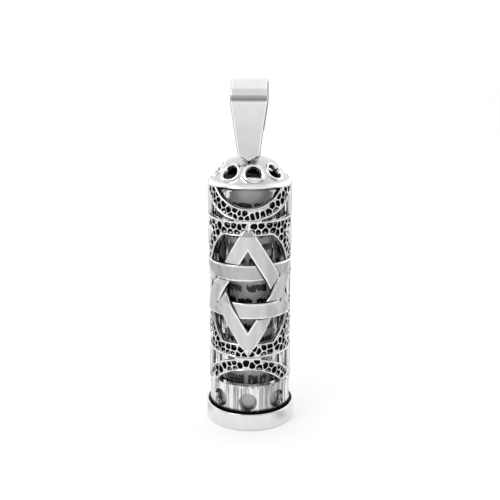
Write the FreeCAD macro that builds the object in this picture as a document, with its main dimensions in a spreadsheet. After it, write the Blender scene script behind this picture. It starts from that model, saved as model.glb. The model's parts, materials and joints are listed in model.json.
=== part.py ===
"""Pendant mezuzah case: openwork silver sleeve over a glass tube that holds a scroll.

Frame: millimetres, +Z up, origin at the centre of the face the case stands on.
The front of the case faces -Y.
"""
import FreeCAD, Part
import math
import os

import Sketcher
from FreeCAD import Placement, Rotation, Vector

os.makedirs("parts", exist_ok=True)
doc = FreeCAD.newDocument("mezuzah_case")

# ---------------------------------------------------------------- driving dimensions
DIMENSIONS = {
    # sleeve: radii, and heights of its rings
    "sleeve_radius": 4.55, "bore_radius": 3.95, "sleeve_foot": 1.15, "sleeve_top": 27.2,
    "collar_top": 5.2, "low_ring_bottom": 8.5, "low_ring_top": 10.1,
    "high_ring_bottom": 22.15, "high_ring_top": 23.7,
    # round windows of the collar
    "port_radius": 1.0, "port_height": 3.2,
    # large oval windows, front and rear, and the arcs that bound the side windows
    "oval_centre": 16.05, "oval_half_width": 5.7, "oval_half_height": 7.0,
    "side_arc_radius": 7.9, "spine_half_width": 0.45,
    # swag under the dome and arch over the collar, and the blunted tip of their spandrels
    "swag_centre": 32.1, "swag_outer_radius": 8.35,
    "arch_centre": 0.0, "arch_half_width": 6.2, "arch_outer_radius": 8.35,
    "spandrel_tip": 1.5,
    # six-pointed stars of woven strips
    "star_centre": 16.0, "star_inner_radius": 4.2, "star_outer_radius": 4.75,
    "star_slope": 59.0, "leg_outer": 3.94, "leg_inner": 2.34, "bar_outer": 2.97,
    "bar_inner": 1.25,
    # dome
    "crown_height": 30.0, "crown_edge_radius": 2.68, "crown_edge_height": 29.3,
    "dome_wall": 0.55, "seat_height": 27.35, "seat_bore": 3.4,
    "crown_lip": 0.33, "dome_hole_radius": 0.85, "dome_hole_ring": 3.3,
    "dome_hole_height": 28.4, "dome_hole_turn": 9.5,
    # hanger ring soldered on the crown
    "hanger_wire": 0.27, "hanger_span": 0.87, "hanger_foot": 29.7, "pivot_height": 31.25,
    # bail: a strap bent round three centres
    "strap": 0.45, "bail_top_centre": 35.6, "bail_top_radius": 2.25,
    "toe_forward": 2.1, "toe_centre": 30.25, "toe_radius": 0.3, "heel_radius": 0.675,
    "bail_top_width": 3.8, "bail_low_width": 2.3, "bail_low_height": 30.4,
    "toe_width": 0.7, "toe_tip": 29.7, "tongue_width": 0.7, "tongue_reach": 1.25,
    # glass tube, its seat and the scroll
    "glass_radius": 3.8, "glass_bore": 2.8, "glass_bottom": 4.95, "glass_top": 26.95,
    "cushion_radius": 3.85, "cushion_bore": 2.9,
    "scroll_radius": 2.45, "scroll_bore": 0.5, "scroll_bottom": 4.85, "scroll_top": 26.5,
    # cap
    "cap_radius": 5.0, "cap_edge": 1.68, "rim_top": 1.93, "rim_crest_radius": 4.86,
    "rim_bore": 4.72, "cap_floor": 1.05, "cap_bevel": 0.18,
    "plug_radius": 3.85, "plug_top": 4.8, "plug_bevel": 0.15,
    "groove_radius": 3.5, "groove_bottom": 4.15, "groove_top": 4.65,
    "ring_radius": 3.72, "ring_wire": 0.2,
}
sheet = doc.addObject("Spreadsheet::Sheet", "Dims")
for row, (alias, value) in enumerate(DIMENSIONS.items(), start=1):
    sheet.set(f"A{row}", alias)
    sheet.set(f"B{row}", str(value))
    sheet.setAlias(f"B{row}", alias)
doc.recompute()


def dim(alias):
    """Value of one driving dimension."""
    return float(getattr(sheet, alias))


def bind(thing, **expressions):
    """Bind properties of an object to expressions of the sheet."""
    for name, expression in expressions.items():
        thing.setExpression(name, expression)
    return thing


def cylinder(name, radius, low, high):
    """Upright cylinder on the axis, between two heights."""
    solid = doc.addObject("Part::Cylinder", name)
    bind(solid, Radius=f"Dims.{radius}", Height=f"Dims.{high} - Dims.{low}")
    solid.setExpression("Placement.Base.z", f"Dims.{low}")
    return solid


def cut(name, base, tool):
    """Base less tool."""
    result = doc.addObject("Part::Cut", name)
    result.Base = base
    result.Tool = tool
    result.Label = name
    return result


def tube(name, outer, inner, low, high):
    """Upright tube on the axis."""
    return cut(name, cylinder(name + "_outside", outer, low, high),
               cylinder(name + "_inside", inner, low, high))


# ---------------------------------------------------------------- sketch helpers
def new_body(name):
    """A body whose label is the part's name."""
    body = doc.addObject("PartDesign::Body", "body_" + name)
    body.Label = name
    return body


def new_sketch(body, name, role):
    """Sketch on one of the body's own origin planes."""
    sketch = body.newObject("Sketcher::SketchObject", name)
    plane = next(f for f in body.Origin.OriginFeatures if f.Role == role)
    sketch.AttachmentSupport = [(plane, "")]
    sketch.MapMode = "FlatFace"
    return sketch


def place_point(sketch, geometry, end, across, up):
    """Fix one end of a curve at two expressions, each a sheet expression or 0."""
    for kind, axis, expression in (("DistanceX", -2, across), ("DistanceY", -1, up)):
        if expression == 0:
            sketch.addConstraint(Sketcher.Constraint("PointOnObject", geometry, end, axis))
            continue
        point = sketch.getPoint(geometry, end)
        now = point.x if kind == "DistanceX" else point.y
        index = sketch.addConstraint(Sketcher.Constraint(kind, -1, 1, geometry, end, now))
        sketch.setExpression(f"Constraints[{index}]", expression)


def outline(sketch, corners):
    """Closed outline of straight lines through corners given as sheet expressions."""
    def number(expression):
        if expression == 0:
            return 0.0
        return float(sheet.evalExpression(expression.replace("Dims.", "")))

    points = [Vector(number(x), number(y), 0) for x, y in corners]
    first = sketch.GeometryCount
    for index, point in enumerate(points):
        following = points[(index + 1) % len(points)]
        sketch.addGeometry(Part.LineSegment(point, following), False)
    for index in range(len(points)):
        here = first + index
        after = first + (index + 1) % len(points)
        sketch.addConstraint(Sketcher.Constraint("Coincident", here, 2, after, 1))
    for index, (across, up) in enumerate(corners):
        place_point(sketch, first + index, 1, across, up)


def revolve(body, sketch, name):
    """Full turn of a sketch about the vertical axis of its plane."""
    feature = body.newObject("PartDesign::Revolution", name)
    feature.Profile = sketch
    feature.ReferenceAxis = (sketch, ["V_Axis"])
    feature.Angle = 360.0
    return feature


# ---------------------------------------------------------------- shapes wrapped on a cylinder
def arc_points(centre, radius_across, radius_up, start, end, steps=12):
    """Points of an elliptic arc; angles in degrees from straight up, clockwise."""
    points = []
    for step in range(steps + 1):
        angle = math.radians(start + (end - start) * step / steps)
        points.append((centre[0] + radius_across * math.sin(angle),
                       centre[1] + radius_up * math.cos(angle)))
    return points


def wrapped_solid(runs, inner_radius, outer_radius):
    """Solid between two cylinders over a closed outline drawn on the unrolled sleeve.

    Each run is a list of (distance round the sleeve, height): two points make a straight
    line and more make a curve. Distances are measured at the sleeve's outside, from -X,
    opposite the cylinder's own seam.
    """
    def on_cylinder(radius):
        surface = Part.Cylinder()
        surface.Radius = radius
        edges = []
        for run in runs:
            flat = [FreeCAD.Base.Vector2d(math.pi + u / dim("sleeve_radius"), z)
                    for u, z in run]
            if len(flat) == 2:
                curve = Part.Geom2d.Line2dSegment(flat[0], flat[1])
            else:
                curve = Part.Geom2d.BSplineCurve2d()
                curve.interpolate(Points=flat)
            edges.append(curve.toShape(surface))
        return Part.Face(surface, Part.Wire(edges)), edges

    inside, inner_edges = on_cylinder(inner_radius)
    outside, outer_edges = on_cylinder(outer_radius)
    walls = [Part.makeRuledSurface(a, b) for a, b in zip(inner_edges, outer_edges)]
    shell = Part.makeShell([inside, outside] + walls)
    shell.sewShape()
    solid = Part.Solid(shell)
    if solid.Volume < 0:
        solid.reverse()
    return solid


def straight_runs(corners):
    """Runs of a closed outline of straight lines."""
    return [[corner, corners[(i + 1) % len(corners)]] for i, corner in enumerate(corners)]


def feature(name, shape, turn):
    """A feature that holds a wrapped shape, turned by an angle from the front."""
    holder = doc.addObject("Part::Feature", name)
    holder.Shape = shape
    holder.Placement = Placement(Vector(0, 0, 0), Rotation(Vector(0, 0, 1), turn + 90))
    return holder


PAST_WALL = 0.5    # how far the cutters reach past both faces of the wall
CUT_INNER = dim("bore_radius") - PAST_WALL
CUT_OUTER = dim("sleeve_radius") + PAST_WALL
QUARTER = dim("sleeve_radius") * math.pi / 2
SPINE_EDGE = QUARTER - dim("spine_half_width")
SAME_POINT = 1e-4


# ---------------------------------------------------------------- windows of the sleeve
def ellipse_angle(half_height, rise):
    """Angle from straight up at which an ellipse has the given rise over its centre."""
    return math.degrees(math.acos(rise / half_height))


def oval_runs():
    """Large oval, cut off flat by the rings above and below it."""
    wide, tall = dim("oval_half_width"), dim("oval_half_height")
    centre = (0.0, dim("oval_centre"))
    start = ellipse_angle(tall, dim("high_ring_bottom") - centre[1])
    end = ellipse_angle(tall, dim("low_ring_top") - centre[1])
    right = arc_points(centre, wide, tall, start, end)
    left = [(-u, z) for u, z in reversed(right)]
    return [right, [right[-1], left[0]], left, [left[-1], right[0]]]


def side_runs(edge):
    """Three-cornered window between a ring, the frame of an oval and the side spine."""
    radius, centre = dim("side_arc_radius"), dim("oval_centre")
    sign = 1 if edge > centre else -1
    inner = math.degrees(math.acos(abs(edge - centre) / radius))
    outer = math.degrees(math.asin(SPINE_EDGE / radius))
    curve = arc_points((0.0, 0.0), radius, radius, inner, outer)
    curve = [(u, centre + sign * z) for u, z in curve]
    corner = (SPINE_EDGE, edge)
    return [curve, [curve[-1], corner], [corner, curve[0]]]


def crescent_runs(centre, wide, tall, edge):
    """Window between a straight edge and the inside of a swag or arch."""
    sign = 1 if edge > centre else -1
    angle = ellipse_angle(tall, abs(edge - centre))
    curve = arc_points((0.0, 0.0), wide, tall, -angle, angle)
    curve = [(u, centre + sign * z) for u, z in curve]
    return [curve, [curve[-1], curve[0]]]


def spandrel_runs(centre, radius, ring_edge, far_edge):
    """Window between a ring, the outside of a swag or arch and the side spine."""
    blunt = dim("spandrel_tip")
    sign = 1 if far_edge > centre else -1
    start = math.asin(blunt / radius)
    end = min(math.acos(abs(far_edge - centre) / radius), math.asin(SPINE_EDGE / radius))
    curve = arc_points((0.0, 0.0), radius, radius, math.degrees(start), math.degrees(end))
    curve = [(u, centre + sign * z) for u, z in curve]
    corners = [curve[-1], (SPINE_EDGE, ring_edge), (blunt, ring_edge), curve[0]]
    if curve[-1][0] < SPINE_EDGE - SAME_POINT:
        corners.insert(1, (SPINE_EDGE, far_edge))
    return [curve] + [list(pair) for pair in zip(corners[:-1], corners[1:])]


SWAG_TALL = dim("oval_half_height")
FACING_WINDOWS = {
    "oval": oval_runs(),
    "swag_window": crescent_runs(dim("swag_centre"), dim("oval_half_width"), SWAG_TALL,
                                 dim("sleeve_top")),
    "arch_window": crescent_runs(dim("arch_centre"), dim("arch_half_width"), SWAG_TALL,
                                 dim("collar_top")),
}
SIDE_WINDOWS = {
    "upper_side": side_runs(dim("high_ring_bottom")),
    "lower_side": side_runs(dim("low_ring_top")),
    "swag_side": spandrel_runs(dim("swag_centre"), dim("swag_outer_radius"),
                               dim("high_ring_top"), dim("sleeve_top")),
    "arch_side": spandrel_runs(dim("arch_centre"), dim("arch_outer_radius"),
                               dim("low_ring_bottom"), dim("collar_top")),
}
cutters = []
outlines = dict(FACING_WINDOWS)
for window_name, window in SIDE_WINDOWS.items():
    outlines[window_name + "_right"] = window
    outlines[window_name + "_left"] = [[(-u, z) for u, z in run] for run in window]
for window_name, window in outlines.items():
    for turn in (0, 180):
        shape = wrapped_solid(window, CUT_INNER, CUT_OUTER)
        cutters.append(feature(f"{window_name}_{turn}", shape, turn))
for index in range(4):
    port = doc.addObject("Part::Cylinder", f"port_{index}")
    bind(port, Radius="Dims.port_radius", Height="3 * Dims.sleeve_radius")
    lying = Rotation(Vector(0, 1, 0), 90)
    facing = Rotation(Vector(0, 0, 1), 45 * index)
    middle = facing.multVec(Vector(-1.5 * dim("sleeve_radius"), 0, dim("port_height")))
    port.Placement = Placement(middle, facing.multiply(lying))
    port.setExpression("Placement.Base.z", "Dims.port_height")
    cutters.append(port)


# ---------------------------------------------------------------- stars
def strip_line(direction, distance):
    """Line at a distance from the star's centre, as its normal and distance."""
    angle = math.radians(direction)
    return math.cos(angle), math.sin(angle), distance


def meet(one, two):
    """Point where two lines cross."""
    a, b, p = one
    c, d, q = two
    det = a * d - b * c
    return (p * d - b * q) / det, dim("star_centre") + (a * q - p * c) / det


def star_shape():
    """Six-pointed star of crossing strips with three openings, wrapped on the sleeve."""
    lean = 90.0 - dim("star_slope")
    directions = [90, lean, -lean, -90, 180 + lean, 180 - lean]
    outer = [strip_line(d, dim("bar_outer" if abs(d) == 90 else "leg_outer"))
             for d in directions]
    inner = [strip_line(d, dim("bar_inner" if abs(d) == 90 else "leg_inner"))
             for d in directions]
    top, right_up, right_down, bottom, left_down, left_up = outer
    corners = [meet(left_up, right_up), meet(right_up, top), meet(top, right_down),
               meet(right_down, right_up), meet(right_up, bottom), meet(bottom, right_down),
               meet(right_down, left_down), meet(left_down, bottom), meet(bottom, left_up),
               meet(left_up, left_down), meet(left_down, top), meet(top, left_up)]
    middle = [meet(inner[i], inner[(i + 1) % 6]) for i in range(6)]
    upper = [meet(inner[5], inner[1]), meet(inner[1], outer[0]), meet(outer[0], inner[5])]
    lower = [meet(inner[2], inner[4]), meet(inner[4], outer[3]), meet(outer[3], inner[2])]
    low, high = dim("star_inner_radius"), dim("star_outer_radius")
    solid = wrapped_solid(straight_runs(corners), low, high)
    holes = [wrapped_solid(straight_runs(hole), low - PAST_WALL, high + PAST_WALL)
             for hole in (middle, upper, lower)]
    return solid.cut(holes)


front_star = feature("front_star", star_shape(), 0)
rear_star = feature("rear_star", star_shape(), 180)
for star in (front_star, rear_star):
    star.Label = star.Name

# ---------------------------------------------------------------- sleeve
sleeve_blank = tube("sleeve_blank", "sleeve_radius", "bore_radius", "sleeve_foot",
                    "sleeve_top")
openings = doc.addObject("Part::Compound", "openings")
openings.Links = cutters + [front_star, rear_star]
sleeve = cut("openwork_sleeve", sleeve_blank, openings)

# ---------------------------------------------------------------- dome with eight holes
dome_body = new_body("dome_shell")
dome_sketch = new_sketch(dome_body, "dome_section", "XZ_Plane")


def dome_section(sketch):
    """Half section: seat inside, conical shoulder and a round crown outside."""
    crown, edge = dim("crown_height"), dim("crown_edge_radius")
    edge_height, wall = dim("crown_edge_height"), dim("dome_wall")
    rise = crown - edge_height
    radius = (edge ** 2 + rise ** 2) / (2 * rise)
    centre = Vector(0, crown - radius, 0)
    inner_edge = edge - dim("crown_lip")
    inner_height = centre.y + math.sqrt((radius - wall) ** 2 - inner_edge ** 2)
    base = [Vector(dim("sleeve_radius"), dim("sleeve_top"), 0),
            Vector(edge, edge_height, 0), Vector(0, crown, 0),
            Vector(0, crown - wall, 0), Vector(inner_edge, inner_height, 0),
            Vector(dim("seat_bore"), dim("seat_height"), 0),
            Vector(dim("bore_radius"), dim("seat_height"), 0),
            Vector(dim("bore_radius"), dim("sleeve_top"), 0)]
    start = math.atan2(edge_height - centre.y, edge)
    inner_start = math.atan2(inner_height - centre.y, inner_edge)
    up = Vector(0, 0, 1)
    sketch.addGeometry([
        Part.LineSegment(base[0], base[1]),
        Part.ArcOfCircle(Part.Circle(centre, up, radius), start, math.pi / 2),
        Part.LineSegment(base[2], base[3]),
        Part.ArcOfCircle(Part.Circle(centre, up, radius - wall), inner_start, math.pi / 2),
        Part.LineSegment(base[4], base[5]), Part.LineSegment(base[5], base[6]),
        Part.LineSegment(base[6], base[7]), Part.LineSegment(base[7], base[0])], False)
    joins = [(0, 2, 1, 1), (1, 2, 2, 1), (2, 2, 3, 2), (3, 1, 4, 1), (4, 2, 5, 1),
             (5, 2, 6, 1), (6, 2, 7, 1), (7, 2, 0, 1), (1, 3, 3, 3)]
    for join in joins:
        sketch.addConstraint(Sketcher.Constraint("Coincident", *join))
    place_point(sketch, 0, 1, "Dims.sleeve_radius", "Dims.sleeve_top")
    place_point(sketch, 0, 2, "Dims.crown_edge_radius", "Dims.crown_edge_height")
    place_point(sketch, 1, 2, 0, "Dims.crown_height")
    place_point(sketch, 2, 2, 0, "Dims.crown_height - Dims.dome_wall")
    place_point(sketch, 4, 2, "Dims.seat_bore", "Dims.seat_height")
    place_point(sketch, 5, 2, "Dims.bore_radius", "Dims.seat_height")
    place_point(sketch, 6, 2, "Dims.bore_radius", "Dims.sleeve_top")
    sketch.addConstraint(Sketcher.Constraint("PointOnObject", 1, 3, -2))
    index = sketch.addConstraint(Sketcher.Constraint("DistanceX", -1, 1, 4, 1, inner_edge))
    sketch.setExpression(f"Constraints[{index}]",
                         "Dims.crown_edge_radius - Dims.crown_lip")


dome_section(dome_sketch)
revolve(dome_body, dome_sketch, "dome_turning")
dome_drills = []
for index in range(8):
    drill = doc.addObject("Part::Cylinder", f"dome_drill_{index}")
    bind(drill, Radius="Dims.dome_hole_radius", Height="5 * Dims.dome_wall")
    slope = math.degrees(math.atan2(
        dim("sleeve_radius") - dim("crown_edge_radius"),
        dim("crown_edge_height") - dim("sleeve_top")))
    tilt = Rotation(Vector(0, 1, 0), 90 - slope)
    facing = Rotation(Vector(0, 0, 1), 45 * index - 90 + dim("dome_hole_turn"))
    spin = facing.multiply(tilt)
    hole = facing.multVec(Vector(dim("dome_hole_ring"), 0, dim("dome_hole_height")))
    drill.Placement = Placement(hole - spin.multVec(Vector(0, 0, 2.5 * dim("dome_wall"))), spin)
    dome_drills.append(drill)
drilling = doc.addObject("Part::Compound", "dome_drilling")
drilling.Links = dome_drills
dome = cut("dome_crown", dome_body, drilling)


# ---------------------------------------------------------------- hanger ring on the crown
def hanger_blank():
    """Wire bent into a staple: two legs and a half-round top that carries the bail."""
    body = new_body("hanger_blank")
    path = new_sketch(body, "hanger_path", "XZ_Plane")
    span = dim("hanger_span")
    foot = dim("hanger_foot")
    bend = dim("pivot_height") - span
    path.addGeometry([
        Part.LineSegment(Vector(span, foot, 0), Vector(span, bend, 0)),
        Part.ArcOfCircle(Part.Circle(Vector(0, bend, 0), Vector(0, 0, 1), span), 0, math.pi),
        Part.LineSegment(Vector(-span, bend, 0), Vector(-span, foot, 0))], False)
    path.addConstraint(Sketcher.Constraint("Tangent", 0, 2, 1, 1))
    path.addConstraint(Sketcher.Constraint("Tangent", 1, 2, 2, 1))
    path.addConstraint(Sketcher.Constraint("PointOnObject", 1, 3, -2))
    path.addConstraint(Sketcher.Constraint("Vertical", 2))
    place_point(path, 0, 1, "Dims.hanger_span", "Dims.hanger_foot")
    index = path.addConstraint(
        Sketcher.Constraint("DistanceY", -1, 1, 1, 3, bend))
    path.setExpression(f"Constraints[{index}]", "Dims.pivot_height - Dims.hanger_span")
    path.addConstraint(Sketcher.Constraint("Vertical", 0))
    path.addConstraint(Sketcher.Constraint("Horizontal", 0, 1, 2, 2))
    wire = new_sketch(body, "hanger_wire_section", "XY_Plane")
    wire.AttachmentOffset = Placement(Vector(0, 0, foot), Rotation())
    wire.setExpression("AttachmentOffset.Base.z", "Dims.hanger_foot")
    wire.addGeometry(Part.Circle(Vector(span, 0, 0), Vector(0, 0, 1), dim("hanger_wire")),
                     False)
    radius = wire.addConstraint(Sketcher.Constraint("Radius", 0, dim("hanger_wire")))
    wire.setExpression(f"Constraints[{radius}]", "Dims.hanger_wire")
    place_point(wire, 0, 3, "Dims.hanger_span", 0)
    sweep = body.newObject("PartDesign::AdditivePipe", "hanger_sweep")
    sweep.Profile = wire
    sweep.Spine = (path, [])
    return body


hanger_ring = cut("hanger_ring", hanger_blank(), dome_body)


# ---------------------------------------------------------------- bail
def belt(circles):
    """Arcs and lines of a belt round circles given as (y, z, radius), anticlockwise."""
    count = len(circles)
    normals = []
    for index, (y0, z0, r0) in enumerate(circles):
        y1, z1, r1 = circles[(index + 1) % count]
        run = math.atan2(z1 - z0, y1 - y0)
        lean = math.asin((r0 - r1) / math.hypot(y1 - y0, z1 - z0))
        normals.append(run - math.pi / 2 + lean)
    curves = []
    for index, (y0, z0, r0) in enumerate(circles):
        before, after = normals[index - 1], normals[index]
        if after < before:
            after += 2 * math.pi
        circle = Part.Circle(Vector(y0, z0, 0), Vector(0, 0, 1), r0)
        curves.append(Part.ArcOfCircle(circle, before, after))
        y1, z1, r1 = circles[(index + 1) % count]
        leave = Vector(y0 + r0 * math.cos(after), z0 + r0 * math.sin(after), 0)
        arrive = Vector(y1 + r1 * math.cos(after), z1 + r1 * math.sin(after), 0)
        curves.append(Part.LineSegment(leave, arrive))
    return curves


BAIL_CENTRES = [
    (0, "Dims.pivot_height", "Dims.heel_radius"),
    (0, "Dims.bail_top_centre", "Dims.bail_top_radius"),
    ("-Dims.toe_forward", "Dims.toe_centre", "Dims.toe_radius"),
]


def bail_loop(sketch, side):
    """Belt outline on one side of the strap: side is +1 outside and -1 inside."""
    half = dim("strap") / 2 * side
    circles = [(0.0, dim("pivot_height"), dim("heel_radius") + half),
               (0.0, dim("bail_top_centre"), dim("bail_top_radius") + half),
               (-dim("toe_forward"), dim("toe_centre"), dim("toe_radius") + half)]
    first = sketch.GeometryCount
    sketch.addGeometry(belt(circles), False)
    sign = "+" if side > 0 else "-"
    for index, (across, up, radius) in enumerate(BAIL_CENTRES):
        arc = first + 2 * index
        place_point(sketch, arc, 3, across, up)
        size = sketch.addConstraint(Sketcher.Constraint("Radius", arc, circles[index][2]))
        sketch.setExpression(f"Constraints[{size}]", f"{radius} {sign} Dims.strap / 2")
        sketch.addConstraint(Sketcher.Constraint("Tangent", arc, 2, arc + 1, 1))
        following = first + (2 * index + 2) % 6
        sketch.addConstraint(Sketcher.Constraint("Tangent", arc + 1, 2, following, 1))


def pocket(body, sketch, name, reverse=False, both=False):
    """Cut a sketch right through, to one side of its plane or to both."""
    result = body.newObject("PartDesign::Pocket", name)
    result.Profile = sketch
    result.Type = "ThroughAll"
    result.Midplane = both
    result.Reversed = reverse
    return result


def bail_body():
    """Strap bent into a loop, tapering downwards, with a narrow tongue under the hanger."""
    body = new_body("bail")
    loop = new_sketch(body, "bail_side", "YZ_Plane")
    bail_loop(loop, +1)
    bail_loop(loop, -1)
    blank = body.newObject("PartDesign::Pad", "bail_blank")
    blank.Profile = loop
    blank.Midplane = True
    blank.setExpression("Length", "Dims.bail_top_width")
    taper = new_sketch(body, "bail_taper", "XZ_Plane")
    for hand in ("", "-"):
        outline(taper, [
            (f"{hand}Dims.bail_top_width / 2", "Dims.bail_top_centre"),
            (f"{hand}Dims.bail_low_width / 2", "Dims.bail_low_height"),
            (f"{hand}Dims.toe_width / 2", "Dims.toe_tip"),
            (f"{hand}Dims.toe_width / 2", "Dims.toe_tip - Dims.bail_top_radius"),
            (f"{hand}Dims.bail_top_width", "Dims.toe_tip - Dims.bail_top_radius"),
            (f"{hand}Dims.bail_top_width", "Dims.bail_top_centre")])
    pocket(body, taper, "bail_sides", both=True)
    for hand in (1, -1):
        side = "right" if hand > 0 else "left"
        notch = new_sketch(body, f"bail_notch_{side}", "YZ_Plane")
        notch.AttachmentOffset = Placement(Vector(0, 0, hand * dim("tongue_width") / 2),
                                           Rotation())
        notch.setExpression("AttachmentOffset.Base.z", f"{hand} * Dims.tongue_width / 2")
        circle = Part.Circle(Vector(0, dim("pivot_height"), 0), Vector(0, 0, 1),
                             dim("tongue_reach"))
        notch.addGeometry(circle, False)
        size = notch.addConstraint(Sketcher.Constraint("Radius", 0, dim("tongue_reach")))
        notch.setExpression(f"Constraints[{size}]", "Dims.tongue_reach")
        place_point(notch, 0, 3, 0, "Dims.pivot_height")
        pocket(body, notch, f"bail_tongue_{side}", reverse=hand > 0)
    return body


bail = bail_body()

# ---------------------------------------------------------------- glass, seat and scroll
glass_tube = tube("glass_tube", "glass_radius", "glass_bore", "glass_bottom", "glass_top")
tube_seat = tube("tube_seat_ring", "cushion_radius", "cushion_bore", "glass_top",
                 "seat_height")
scroll = tube("scroll", "scroll_radius", "scroll_bore", "scroll_bottom", "scroll_top")

# ---------------------------------------------------------------- cap
cap_dish = new_body("cap_dish")
dish_sketch = new_sketch(cap_dish, "dish_section", "XZ_Plane")
outline(dish_sketch, [
    (0, 0), ("Dims.cap_radius - Dims.cap_bevel", 0), ("Dims.cap_radius", "Dims.cap_bevel"),
    ("Dims.cap_radius", "Dims.cap_edge"), ("Dims.rim_crest_radius", "Dims.rim_top"),
    ("Dims.rim_bore", "Dims.cap_edge"), ("Dims.rim_bore", "Dims.cap_floor"),
    (0, "Dims.cap_floor")])
revolve(cap_dish, dish_sketch, "dish_turning")

cap_plug = new_body("cap_plug")
plug_sketch = new_sketch(cap_plug, "plug_section", "XZ_Plane")
outline(plug_sketch, [
    (0, "Dims.cap_floor"), ("Dims.plug_radius", "Dims.cap_floor"),
    ("Dims.plug_radius", "Dims.groove_bottom"), ("Dims.groove_radius", "Dims.groove_bottom"),
    ("Dims.groove_radius", "Dims.groove_top"), ("Dims.plug_radius", "Dims.groove_top"),
    ("Dims.plug_radius - Dims.plug_bevel", "Dims.plug_top"), (0, "Dims.plug_top")])
revolve(cap_plug, plug_sketch, "plug_turning")

grip_ring = doc.addObject("Part::Torus", "grip_ring")
grip_ring.Label = "grip_ring"
bind(grip_ring, Radius1="Dims.ring_radius", Radius2="Dims.ring_wire")
grip_ring.setExpression("Placement.Base.z", "(Dims.groove_bottom + Dims.groove_top) / 2")

# ---------------------------------------------------------------- checks and export
SUB_PARTS = [sleeve, front_star, rear_star, dome, hanger_ring, bail, glass_tube, tube_seat,
             scroll, cap_dish, cap_plug, grip_ring]
doc.recompute()
for item in doc.Objects:
    if {"Invalid", "Error"} & set(item.State):
        raise RuntimeError(f"{item.Label} did not compute: {item.State}")
for item in SUB_PARTS:
    if item.Shape.isNull() or not item.Shape.isValid():
        raise RuntimeError(f"{item.Label} has no valid shape")
for item in SUB_PARTS:
    item.Shape.exportStep(f"parts/{item.Label}.step")
    print(f"{item.Label}: {item.Shape.Volume:.3f} mm3, {len(item.Shape.Solids)} solid")
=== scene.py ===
"""Looks of the pendant mezuzah case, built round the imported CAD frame.

Lengths in this script are millimetres, turned into metres as each mesh is made.
"""

import json
import math
import random

import bmesh
import bpy
import numpy as np
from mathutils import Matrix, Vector, kdtree, noise
from mathutils.geometry import delaunay_2d_cdt


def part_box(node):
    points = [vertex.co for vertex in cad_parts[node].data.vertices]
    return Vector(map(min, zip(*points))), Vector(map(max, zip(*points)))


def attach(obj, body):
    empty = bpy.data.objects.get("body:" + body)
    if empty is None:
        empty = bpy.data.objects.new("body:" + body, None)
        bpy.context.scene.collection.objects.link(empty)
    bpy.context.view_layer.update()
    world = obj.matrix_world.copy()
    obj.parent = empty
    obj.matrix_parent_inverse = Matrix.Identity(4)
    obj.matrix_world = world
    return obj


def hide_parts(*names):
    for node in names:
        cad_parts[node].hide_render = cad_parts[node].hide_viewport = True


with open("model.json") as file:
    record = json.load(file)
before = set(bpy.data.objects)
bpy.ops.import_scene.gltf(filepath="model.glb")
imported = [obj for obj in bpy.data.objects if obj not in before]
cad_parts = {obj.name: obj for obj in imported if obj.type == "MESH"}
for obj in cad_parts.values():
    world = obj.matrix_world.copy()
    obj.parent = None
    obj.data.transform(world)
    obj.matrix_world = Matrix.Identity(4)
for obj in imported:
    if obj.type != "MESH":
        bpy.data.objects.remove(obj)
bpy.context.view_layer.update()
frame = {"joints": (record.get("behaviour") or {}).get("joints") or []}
MM = 0.001
TAU = 2 * math.pi


# ---- sizes read from the frame
def box_mm(node):
    """Lowest and highest corner of a CAD node, in millimetres."""
    low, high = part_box(node)
    return low / MM, high / MM


SLEEVE_LOW, SLEEVE_HIGH = box_mm("openwork_sleeve")
SLEEVE_R = SLEEVE_HIGH.x
SLEEVE_FOOT, SLEEVE_TOP = SLEEVE_LOW.z, SLEEVE_HIGH.z
SLEEVE_WALL = 0.6
BORE_R = SLEEVE_R - SLEEVE_WALL
QUARTER = SLEEVE_R * math.pi / 2
SPINE_EDGE = QUARTER - 0.45

# ---- pattern of the sleeve
COLLAR_TOP = 5.2
LOW_RING = (8.5, 10.1)
HIGH_RING = (22.15, 23.7)
OVAL_CENTRE, OVAL_WIDE, OVAL_TALL = 16.05, 5.7, 7.0
SIDE_ARC = 7.9
SWAG_CENTRE, SWAG_OUTER = 32.1, 8.35
ARCH_WIDE, ARCH_OUTER = 6.2, 8.35
BLUNT = 1.5    # half width of the blunted tip of a window beside a swag or arch


# ---- mesh helpers
def smooth_step(value, low, high):
    """Ease from 0 at low to 1 at high."""
    x = min(1.0, max(0.0, (value - low) / (high - low)))
    return x * x * (3 - 2 * x)


def wrap(u, z, radius):
    """Point of the unrolled sleeve (u from the front, towards +X) on a cylinder."""
    angle = u / SLEEVE_R
    return np.stack([radius * np.sin(angle), -radius * np.cos(angle), z + 0 * u], -1)


def link_object(name, data):
    """New object in the scene."""
    thing = bpy.data.objects.new(name, data)
    bpy.context.scene.collection.objects.link(thing)
    return thing


def fill_layers(mesh, **layers):
    """Keep one number per point in each named layer, for the mesh's material."""
    for name, values in layers.items():
        layer = mesh.attributes.new(name, "FLOAT", "POINT")
        layer.data.foreach_set("value", np.asarray(values, np.float32))


def new_piece(name, points, faces, body, nodes, slot, material, **layers):
    """Closed mesh from points in millimetres, riding on a body in place of CAD nodes."""
    mesh = bpy.data.meshes.new(name)
    mesh.from_pydata((np.asarray(points, float) * MM).tolist(), [], [list(f) for f in faces])
    mesh.validate()
    mesh.shade_smooth()
    fill_layers(mesh, **layers)
    merged = bmesh.new()
    merged.from_mesh(mesh)
    bmesh.ops.remove_doubles(merged, verts=merged.verts, dist=1e-7)
    loose = [v for v in merged.verts if not v.link_faces]
    bmesh.ops.delete(merged, geom=loose, context="VERTS")
    bmesh.ops.recalc_face_normals(merged, faces=merged.faces)
    merged.to_mesh(mesh)
    merged.free()
    mesh.set_sharp_from_angle(angle=math.radians(40))
    mesh.materials.append(material)
    piece = link_object(name, mesh)
    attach(piece, body)
    if nodes:
        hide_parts(*nodes)


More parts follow.
